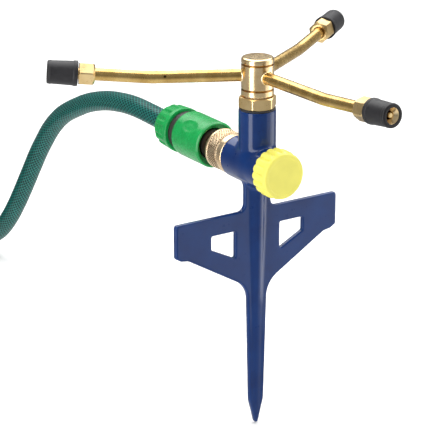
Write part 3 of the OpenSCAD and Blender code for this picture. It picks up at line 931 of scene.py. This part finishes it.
hub = lathe(
    "hub_turned",
    rounded(
        [(6.03, 282.0), (6.03, HUB_Z + 0.5, 0.2), (6.5, HUB_Z, 0.1), (HUB_R, HUB_Z, 0.7)]
        + groove(HUB_Z + 4.85, HUB_R)
        + groove(HUB_TOP - 4.95, HUB_R)
        + [(HUB_R, HUB_TOP, 2.1), (4.5, HUB_TOP, 1.0), (0, HUB_TOP - 0.04)],
        6,
    ),
    M_HUB, 144,
)
# the faces inside the two hub grooves get darker brass: painted shade and painted dark reflection in the grooves
hub.data.materials.append(M_HUB_GROOVE_SHADE)
for f in hub.data.polygons:
    r_, z_ = math.hypot(f.center[0], f.center[1]) / MM, f.center[2] / MM
    if HUB_R - 0.7 < r_ < HUB_R - 0.06 and min(abs(z_ - HUB_Z - 4.85), abs(z_ - HUB_TOP + 4.95)) < 0.8:
        f.material_index = 1
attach(hub, "rotor")
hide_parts("rotor_hub")


def arm_line(x0, s, step=2.0):
    """Centreline of an arm in its own plane: straight, a gentle bend upwards, straight."""
    pts = [Vector((x0 + (BEND_AT - x0) * k / 30, 0, 0)) for k in range(30)]
    for k in range(11):
        a = rad(BEND) * k / 10
        pts.append(Vector((BEND_AT + BEND_R * math.sin(a), 0, BEND_R * (1 - math.cos(a)))))
    e, d = pts[-1], Vector((math.cos(rad(BEND)), 0, math.sin(rad(BEND))))
    for k in range(1, 16):
        pts.append(e + d * ((ARM_OUT + s) * k / 15))
    return pts


def braze(name, i):
    """The fillet of brazing metal where an arm enters the hub: a saddle on the hub's round side."""
    n, m = 48, 6
    rr = 1.15
    verts, faces = [], []
    for j in range(n):
        ph = 2 * PI * j / n
        wob = 1 + 0.10 * math.sin(3 * ph + i) + 0.06 * math.sin(7 * ph + 2 * i)
        for k in range(m + 1):
            t = k / m * PI / 2
            ra = ARM_R - 0.05 + rr * wob * (1 - math.sin(t))
            y, z = ra * math.cos(ph), ra * math.sin(ph)
            x = math.sqrt(HUB_R**2 - y * y) - 0.05 + rr * wob * (1 - math.cos(t)) * 1.0
            verts.append((x, y, z))
    for j in range(n):
        q = (j + 1) % n
        for k in range(m):
            a, b = j * (m + 1) + k, q * (m + 1) + k
            faces.append((a, b, b + 1, a + 1))
    o = new_obj(name, verts, faces, None, M_HUB)
    bm = bmesh.new()
    bm.from_mesh(o.data)
    bmesh.ops.recalc_face_normals(bm, faces=bm.faces)
    bm.to_mesh(o.data)
    bm.free()
    put(o, R(ARM_TURN + 120 * i, "Z") @ T(0, 0, ARM_Z))
    return smooth(o)


CUP = rounded(
    [(5.0, 12.65, 0.2), (7.55, 12.65, 0.25), (7.55, 34.9, 0.05), (5.85, 34.9, 0.25), (2.95, 31.4, 0.15), (2.9, 29.5, 0.2),
     (4.95, 27.5), (4.95, 15.3, 0.1), (6.28, 15.3, 0.1), (6.28, 13.3, 0.1), (5.0, 13.3, 0.1)],
    4, True,
)
GRIP = rounded(
    [(7.58, 12.7, 0.15), (9.65, 12.7, 0.75), (9.62, 15.6, 0.6), (9.28, 16.3, 0.6), (9.05, 24), (8.82, 32.2, 0.4),
     (9.02, 33.0, 0.4), (8.75, 35.7, 1.35), (6.0, 35.7, 0.45), (5.88, 34.95, 0.1), (7.58, 34.95, 0.1)],
    5, True,
)
for i in range(3):
    k = i + 1
    turn = R(ARM_TURN + 120 * i, "Z") @ T(0, 0, ARM_Z)
    outer = tube("arm_%d_brass" % k, arm_line(10.2, 5.2), ARM_R, M_GOLD, n=48)
    bore = tube("bore_%d" % k, arm_line(9.6, 6.2), 3.7, M_GOLD, n=32)
    jet = cyl(0.8, 8, T(70, 0, 0) @ R(-70, "X"), 20)
    lip = cyl(0.8, 0.5, T(70, 0, 0) @ R(-70, "X") @ T(0, 0, ARM_R - 0.36), 20, 1.15)
    arm = boolean(outer, [bore, jet, lip])
    put(arm, turn)
    shade(arm, 38, False)
    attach(arm, "rotor")
    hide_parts("arm_tube_%d" % k)
    br = braze("arm_%d_braze" % k, i)
    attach(br, "rotor")

    F = f_nozzle(i)
    holder = hexagon(
        "holder_%d_hex" % k, 16.0, 0.0, 11.9, 4.73, 6.7, 8.4, M_HEX, F, turn=16, corner=0.25, n=120,
        tail=[(4.73, 5.9), (4.73, 0.5), (5.1, 0.0)],
        head=[(4.4, 11.9), (4.4, 17), (4.85, 17.4), (4.85, 22), (4, 22.4), (4, 24.5), (1.95, 27), (1.9, 32.7), (1.75, 33.05), (1.5, 33.2), (0, 33.2)],
        slope=38,
    )
    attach(holder, "rotor")
    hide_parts("nozzle_holder_%d" % k)
    cup = lathe("cup_%d_brass" % k, CUP, M_HUB, 72, True, F)
    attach(cup, "nozzle_%d" % k)
    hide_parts("nozzle_cup_%d" % k)
    grip = lathe("grip_%d_rubber" % k, GRIP, M_GRIP, 72, True, F)
    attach(grip, "nozzle_%d" % k)
    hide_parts("nozzle_grip_%d" % k)

# ---------------------------------------------------------------- inlet nipple
F0 = CROSS_BACK + 0.9
E0 = CONN_Y - 7.5
SPIGOT = [(8, -5.2), (8, 5.3, 0.2), (7, 5.7, 0.2), (7, 10.3, 0.2), (8, 10.7, 0.2), (8, 14.2, 0.15), (6.25, 14.2), (6.25, 17),
          (8, 17, 0.15), (8, 20.3, 0.4), (6.7, 22.3, 0.4), (5.2, 22.3)]


def spigot(z):
    return [(p[0], p[1] + z, *p[2:]) for p in SPIGOT]


nipple = lathe(
    "nipple_turned",
    rounded(
        [(5.2, 8.6), (12.4, 8.6, 0.4), (13.1, 9.4, 0.2), (13.1, F0), (15.9, F0, 0.2), (16.2, F0 + 0.4, 0.2), (16.2, F0 + 6.0, 0.4),
         (15.2, F0 + 6.5, 0.3), (15.2, F0 + 7.3, 0.3), (16.1, F0 + 7.9, 0.3), (15.75, F0 + 8.5, 0.2), (15.75, E0 - 3.4, 0.2), (16.2, E0 - 3.0, 0.3),
         (16.2, E0, 1.9), (9.2, E0, 0.4), (9.2, E0 + 1.6, 0.3)] + spigot(CONN_Y) + [(5.2, 8.6)],
        4,
    ),
    M_ROSE, 120, False, F_IN,
)
nipple.name = "nipple_turned"


def knurl(name, r0, r1, z0, z1, count, m, mat, per=6):
    """Diamond knurling as real relief: small four-sided points in a crossed pattern."""
    pitch = 2 * PI * r1 / count
    lead = pitch * 1.25
    n = count * per
    rows = int((z1 - z0) / (lead / per))
    verts, faces = [], []
    for i in range(rows + 1):
        z = z0 + (z1 - z0) * i / rows
        fade = min(1.0, (z - z0) / 0.5, (z1 - z) / 0.5)
        for j in range(n):
            u, v = j / per, (z - z0) / lead
            a = abs((u + v) % 1.0 - 0.5) * 2
            b = abs((u - v) % 1.0 - 0.5) * 2
            hgt = min(1.0, 1.55 * min(1 - a, 1 - b) * 1.0)
            r = r0 + (r1 - r0) * hgt * fade
            th = 2 * PI * j / n
            verts.append((r * math.cos(th), r * math.sin(th), z))
    for i in range(rows):
        for j in range(n):
            k = (j + 1) % n
            faces.append((i * n + j, i * n + k, (i + 1) * n + k, (i + 1) * n + j))
    o = new_obj(name, verts, faces, None, mat)
    # faces low in the knurl get the dark brass: painted shade in the valleys
    o.data.materials.append(M_KNURL_SHADE)
    for f in o.data.polygons:
        if sum(math.hypot(verts[k][0], verts[k][1]) for k in f.vertices) / 4 < r0 + 0.5 * (r1 - r0):
            f.material_index = 1
    fix_normals(o)
    put(o, m)
    return shade(o, 50, False)


nipple_knurl = knurl("nipple_knurl", 15.7, 16.18, F0 + 8.2, E0 - 3.1, 56, F_IN, M_ROSE)
inlet_ring = lathe(
    "inlet_gasket_ring",
    rounded([(13.3, CROSS_BACK + 0.02, 0.1), (15.95, CROSS_BACK + 0.02, 0.3), (15.95, CROSS_BACK + 0.86, 0.3), (13.3, CROSS_BACK + 0.86, 0.1)], 4, True),
    M_BLACK, 96, True, F_IN,
)
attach(nipple, "spike")
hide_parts("inlet_nipple")
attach(nipple_knurl, "spike")
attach(inlet_ring, "spike")
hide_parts("inlet_gasket")

# ---------------------------------------------------------------- snap connectors
COLLAR_L, NUT_R, FLUTES = 37.5, 18.5, 16


def sweep_rows(a, b, step):
    n = max(1, int(round((b - a) / step)))
    return [a + (b - a) * k / n for k in range(n + 1)]


def make_collar(name, m):
    front = rounded([(16.35, 4.3), (16.6, 4.3, 0.1), (16.6, 0.0, 0.35), (17.6, 0.0, 0.35), (18.6, 1.5, 0.9), (18.6, 4.0)], 4)
    back = rounded([(18.6, 34.0), (18.6, 37.5, 1.9), (16.35, 37.5, 0.5), (16.35, 24.5, 0.3), (15.3, 24.5, 0.2), (15.3, 10.6, 0.2),
                    (12.95, 10.6, 0.3), (12.95, 4.4, 0.3), (16.35, 4.4)], 4)
    pts = front + [(18.6, z) for z in sweep_rows(4.6, 33.4, 0.75)] + back

    def radius(th, r, z):
        if r < 18.5:
            return r
        best = r
        for c in (45, 225):
            d = (math.degrees(th) - c + 180) % 360 - 180
            w = rad(d) * 18.6
            q = (w / 6.4) ** 2 + ((z - COLLAR_L / 2) / 10.4) ** 2
            if q < 1.0:
                s = 1 - q
                s = s * s * (3 - 2 * s)
                best = min(best, r - 1.05 * s)
            elif q < 1.45:
                best = min(best, r)
        return best

    return lathe(name, pts, M_GREEN, 240, True, m, 40, radius)


def make_nut(name, m):
    pts = rounded([(8.75, 65.6), (14.7, 60.2), (14.85, 46.85), (17.9, 46.85, 0.3), (NUT_R, 47.4, 0.3), (NUT_R, 50.6)], 3)
    outer = [(50.6, NUT_R), (58, 18.05), (64, 17.6)]
    for z in sweep_rows(51.2, 63.6, 0.62):
        r = np.interp(z, [p[0] for p in outer], [p[1] for p in outer])
        pts.append((float(r), z))
    pts += rounded([(17.6, 64, 0), (15.9, 66.9, 1.0), (14.4, 67.7, 0.5), (9.4, 67.7, 0.5), (8.75, 67.0), (8.75, 65.6)], 4)

    def radius(th, r, z):
        if z < 50.8 or r < 14.5 or z > 67.0:
            return r
        a = (math.degrees(th) / 360 * FLUTES) % 1.0 - 0.5
        d = a * 2 * PI / FLUTES
        cen = 19.9 - (z - 51.5) * 0.079
        rr = 2.45 * min(1.0, math.sqrt(max(0.0, min(1.0, (z - 50.8) / 2.0)) * (2 - min(1.0, max(0.0, (z - 50.8) / 2.0)))))
        s = rr * rr - (cen * math.sin(d)) ** 2
        if s <= 0:
            return r
        cut = cen * math.cos(d) - math.sqrt(s)
        return r - 0.96 * max(0.0, r - cut) if cut < r else r

    return lathe(name, pts, M_GREEN, 256, False, m, 42, radius)


def make_body(name, m):
    rib = []
    for z in (35.2, 37.4, 39.6, 41.8, 44.0):
        rib += [(16, z - 0.35, 0.1), (15.72, z, 0.1), (16, z + 0.35, 0.1)]
    pts = rounded(
        [(8.35, 2.8), (11.6, 2.8, 0.2), (12.4, 3.6, 0.2), (12.4, 31.3, 0.2), (15.6, 31.3, 0.2), (16, 31.7, 0.2)] + rib
        + [(16, 46.75, 0.2), (14.8, 46.75), (14.8, 59.5, 0.2), (12.7, 59.5, 0.2), (12.7, 48.5), (8.6, 48.5)],
        3,
    )
    pts += [(8.3, 48.5), (8.06, 23.2), (8.06, 10.4), (8.35, 10.4)]
    return lathe(name, pts, M_DARK, 96, True, m)


def connector(prefix, m, base, collar_body, nodes):
    c = make_collar(prefix + "_collar_moulded", m)
    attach(c, collar_body)
    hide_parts(nodes["collar"])
    n = make_nut(prefix + "_nut_moulded", m)
    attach(n, base)
    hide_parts(nodes["nut"])
    b = make_body(prefix + "_body_moulded", m)
    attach(b, base)
    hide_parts(nodes["body"])
    return [c, n, b]


near = connector("near", F_CONN, "spike", "collar", {"collar": "connector_collar", "nut": "hose_nut", "body": "connector_body"})
far = connector("far", F_FAR, "spike", "tap_collar", {"collar": "tap_connector_collar", "nut": "tap_hose_nut", "body": "tap_connector_body"})


# tap adaptor: dark plastic, ribbed grip, inside G3/4 thread
def make_adaptor(m):
    pts = rounded([(12.3, -12.5), (12.3, -14.5), (12.75, -14.6), (12.75, -25.0, 0.4), (15.4, -25.0, 0.5), (16.2, -24.2, 0.4)], 3)
    for z in sweep_rows(-23.4, -9.2, 0.7):
        pts.append((16.2, z))
    pts += rounded([(16.2, -8.3, 0.5), (15.4, -7.5, 0.4), (9.2, -7.5, 0.4), (9.2, -5.9, 0.3), (8, -5.2)] + SPIGOT[1:] + [(5.2, -12.5)], 4)

    def radius(th, r, z):
        if r < 16.0 or z > -8.5 or z < -24.0:
            return r
        a = (math.degrees(th) % 30 + 15) % 30 - 15
        d = rad(a)
        s = 2.2**2 - (17.8 * math.sin(d)) ** 2
        if s <= 0:
            return r
        top = 17.8 * math.cos(d) + math.sqrt(s)
        fade = min(1.0, (z + 23.6) / 1.2, (-9.4 - z) / 1.2)
        return r + max(0.0, top - r) * max(0.0, fade)

    return lathe("tap_adaptor_moulded", pts, M_DARK, 180, True, m, 40, radius)


adaptor = make_adaptor(F_FAR)
adaptor_thread = thread("tap_adaptor_thread", 12.75, 12.08, -24.7, -14.6, 1.814, M_DARK, F_FAR)
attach(adaptor, "spike")
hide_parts("tap_adaptor")
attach(adaptor_thread, "spike")

# ---------------------------------------------------------------- end cap
CAP_R, CAP_L, LOBES = 18.9, 15.8, 18


def make_cap(m):
    pts = [(0, 13.7), (13.0, 13.7), (13.25, 13.4), (13.25, 0.6), (13.9, 0.0), (17.2, 0.0), (17.75, 0.45)]
    for z in sweep_rows(1.0, 12.2, 0.5):
        pts.append((17.8, z))
    pts += rounded([(17.8, 12.4), (17.9, CAP_L, 2.4), (14.6, CAP_L - 0.02, 0.4), (14.2, CAP_L - 0.25, 0.3), (0, CAP_L - 0.3)], 8)[1:]

    def radius(th, r, z):
        if z > 12.3 or r < 17.0:
            return r
        a = (math.degrees(th) / 360 * LOBES + 0.5) % 1.0 - 0.5
        d = a * 2 * PI / LOBES
        c = CAP_R - 3.2
        s = 3.2**2 - (c * math.sin(d)) ** 2
        top = c * math.cos(d) + math.sqrt(max(0.0, s))
        top = max(top, 17.35)
        f = 1.0
        if z > 10.6:
            f = math.sqrt(max(0.0, 1 - ((z - 10.6) / 1.75) ** 2))
        if z < 0.9:
            f = 0.75 + 0.25 * z / 0.9
        base = 17.35 if z < 11.4 else 17.35 + (17.8 - 17.35) * (z - 11.4) / 0.9
        return base + max(0.0, top - base) * f

    return lathe("end_cap_moulded", pts, M_LEMON, 288, False, m, 44, radius)


cap = make_cap(F_OUT)
cap_thread = thread("end_cap_thread", 13.25, 13.0, 1.2, 11.4, 1.814, M_LEMON, F_OUT)
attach(cap, "cap")
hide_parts("end_cap")
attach(cap_thread, "cap")

# ---------------------------------------------------------------- CAD nodes that stay, with their own materials
KEEP = {
    M_BLACK: ("nozzle_seal_1", "nozzle_seal_2", "nozzle_seal_3", "nipple_seal", "cap_washer", "adaptor_washer", "adaptor_seal"),
    M_WHITE: ("lower_washer", "upper_washer", "latch_claws", "hose_collet", "tap_latch_claws", "tap_hose_collet"),
    M_STEEL: ("collar_spring", "tap_collar_spring"),
    M_HUB: ("rotor_shaft",),
}
for mat, names in KEEP.items():
    for n_ in names:
        o = NODES[n_]
        o.data.materials.clear()
        o.data.materials.append(mat)

# the collar springs are 20.5 mm long at rest and 15 mm at the end of the travel; here each only gets a mesh of its own
for n_, where, joint in (("collar_spring", F_CONN, "collar_release"), ("tap_collar_spring", F_FAR, "tap_collar_release")):
    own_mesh(NODES[n_])

# ---------------------------------------------------------------- floor and light
fm, fnt, fp = material("floor_look")
fv = coords(fnt)
fnt.links.new(ramp(fnt, noise(fnt, fv, 6, 3), [(0.3, (0.90, 0.90, 0.90)), (0.7, (0.93, 0.93, 0.93))]), fp.inputs["Base Color"])
fp.inputs["Roughness"].default_value = 0.85
fp.inputs["Specular IOR Level"].default_value = 0.1
floor = new_obj("floor", [(-9000, -9000, -0.6), (9000, -9000, -0.6), (9000, 9000, -0.6), (-9000, 9000, -0.6)], [(0, 1, 2, 3)], None, fm)
floor.visible_glossy = False  # gloss mirrors the soft boxes and the dim room, so the shapes keep their dark lines

world = bpy.data.worlds.new("world")
scene.world = world
world.use_nodes = True
wn = world.node_tree
bg = wn.nodes["Background"]
bg.inputs["Strength"].default_value = 1.0
way = N(wn, "ShaderNodeSeparateXYZ")
wn.links.new(N(wn, "ShaderNodeTexCoord").outputs["Generated"], way.inputs[0])
room = ramp(wn, maprange(wn, way.outputs[2], -1.0, 1.0, 0.0, 1.0), [
    (0.0, (1.0, 1.0, 1.0)), (0.2, (0.85, 0.85, 0.85)), (0.30, (0.52, 0.52, 0.52)), (0.36, (0.42, 0.42, 0.42)), (0.5, (0.22, 0.22, 0.22)),
    (0.7, (0.30, 0.30, 0.30)), (1.0, (0.36, 0.36, 0.36))])
wn.links.new(room, bg.inputs["Color"])


def area(name, at, aim, size, power, color=(1, 1, 1)):
    d = bpy.data.lights.new(name, "AREA")
    d.shape = "RECTANGLE"
    d.size, d.size_y = size
    d.energy = power
    d.color = color
    o = bpy.data.objects.new(name, d)
    o.location = at
    v = Vector(aim) - Vector(at)
    o.rotation_euler = v.to_track_quat("-Z", "Y").to_euler()
    o.visible_camera = False
    scene.collection.objects.link(o)
    return o


# a tall softbox on each side of the camera, and a large one overhead that lights the floor behind the object
area("left_box", (-0.585, -0.155, 0.40), (0, 0, 0.4), (0.26, 1.1), 4.2)
area("front_fill", (0.57, -0.69, 0.35), (0, 0, 0.35), (0.45, 1.3), 1.5)
area("right_box", (0.56, -0.21, 0.40), (0, 0, 0.4), (0.36, 1.1), 2.6)
area("top_box", (0.50, 0.76, 1.35), (0.50, 0.76, 0), (2.0, 1.9), 41)
scene.view_settings.view_transform = "Standard"
scene.view_settings.look = "None"
